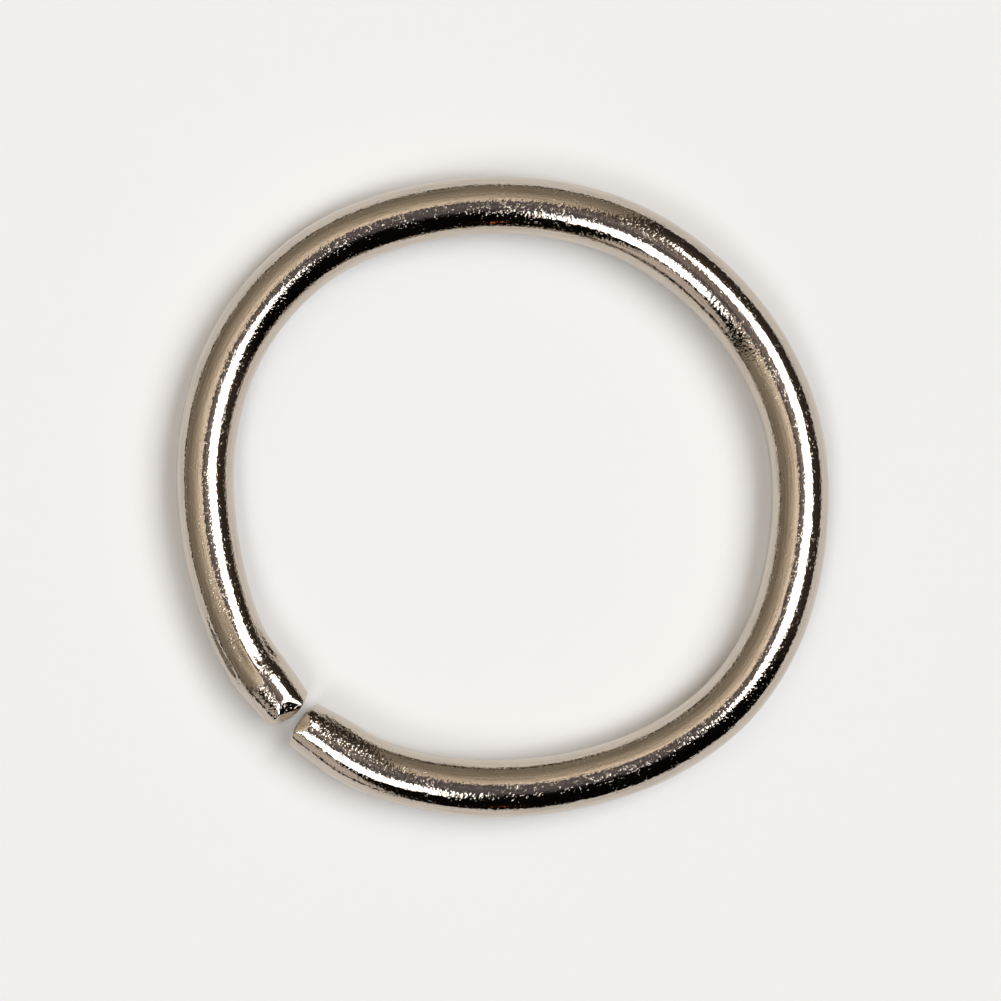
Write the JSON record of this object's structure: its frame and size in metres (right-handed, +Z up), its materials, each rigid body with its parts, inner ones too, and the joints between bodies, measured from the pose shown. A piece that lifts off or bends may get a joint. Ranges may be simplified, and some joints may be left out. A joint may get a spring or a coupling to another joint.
{
  "type": "open key ring",
  "caption": "Open key ring of round plated steel wire: one loop whose two pinch-cut ends nearly meet and flex apart to let keys on.",
  "frame": {"origin": "middle of the ring's box seen from above, on the surface the ring lies on", "axes": "+Z up, square to the plane of the loop; +Y towards the crown, opposite the gap; -Y towards the gap; +X towards the right side"},
  "size_m": [0.0312, 0.0302, 0.0027],
  "materials": {
    "plated_wire": "bright nickel plate over drawn steel wire, fine mottled ripple and small pits",
    "cut_steel": "nickel plate over a pinch-cut end, with shear facets"
  },
  "bodies": {
    "crown": {"crown": "plated_wire", "left_span_1": "plated_wire", "right_span_1": "plated_wire"},
    "left_shoulder": {"left_span_2": "plated_wire"},
    "left_side": {"left_span_3": "plated_wire", "left_span_4": "plated_wire"},
    "left_arm": {"left_span_5": "plated_wire", "left_span_6": "plated_wire", "left_span_7": "plated_wire", "left_span_8": "plated_wire", "left_span_9": "plated_wire", "left_cut_end": "cut_steel"},
    "right_shoulder": {"right_span_2": "plated_wire"},
    "right_side": {"right_span_3": "plated_wire", "right_span_4": "plated_wire"},
    "right_arm": {"right_span_5": "plated_wire", "right_span_6": "plated_wire", "right_span_7": "plated_wire", "right_span_8": "plated_wire", "right_span_9": "plated_wire", "right_cut_end": "cut_steel"}
  },
  "joints": [
    {"name": "left_shoulder_spread", "type": "hinge", "parent": "crown", "child": "left_shoulder", "pos_m": [-0.00645, 0.01357, 0.00135], "axis": [0, 0, -1], "range_deg": [0, 1.7], "stiffness_Nm_per_rad": 2.425},
    {"name": "left_side_twist", "type": "hinge", "parent": "left_shoulder", "child": "left_side", "pos_m": [-0.00984, 0.00939, 0.00135], "axis": [-0.6997, -0.7145, 0], "range_deg": [-3.6, 3.6], "stiffness_Nm_per_rad": 0.7},
    {"name": "left_arm_spread", "type": "hinge", "parent": "left_side", "child": "left_arm", "pos_m": [-0.01542, 0.00186, 0.00135], "axis": [0, 0, -1], "range_deg": [0, 1.94], "stiffness_Nm_per_rad": 1.305},
    {"name": "right_shoulder_spread", "type": "hinge", "parent": "crown", "child": "right_shoulder", "pos_m": [0.00706, 0.01357, 0.00135], "axis": [0, 0, 1], "range_deg": [0, 1.7], "stiffness_Nm_per_rad": 2.425},
    {"name": "right_side_twist", "type": "hinge", "parent": "right_shoulder", "child": "right_side", "pos_m": [0.00952, 0.01019, 0.00135], "axis": [0.7145, -0.6997, 0], "range_deg": [-3.6, 3.6], "stiffness_Nm_per_rad": 0.7},
    {"name": "right_arm_spread", "type": "hinge", "parent": "right_side", "child": "right_arm", "pos_m": [0.01541, 0.00233, 0.00135], "axis": [0, 0, 1], "range_deg": [0, 1.94], "stiffness_Nm_per_rad": 1.305}
  ],
  "couplings": [
    {"joint": "left_arm_spread", "follows": "left_shoulder_spread", "ratio": 1.14},
    {"joint": "right_shoulder_spread", "follows": "left_shoulder_spread", "ratio": 1},
    {"joint": "right_arm_spread", "follows": "left_shoulder_spread", "ratio": 1.14},
    {"joint": "right_side_twist", "follows": "left_side_twist", "ratio": 1}
  ]
}
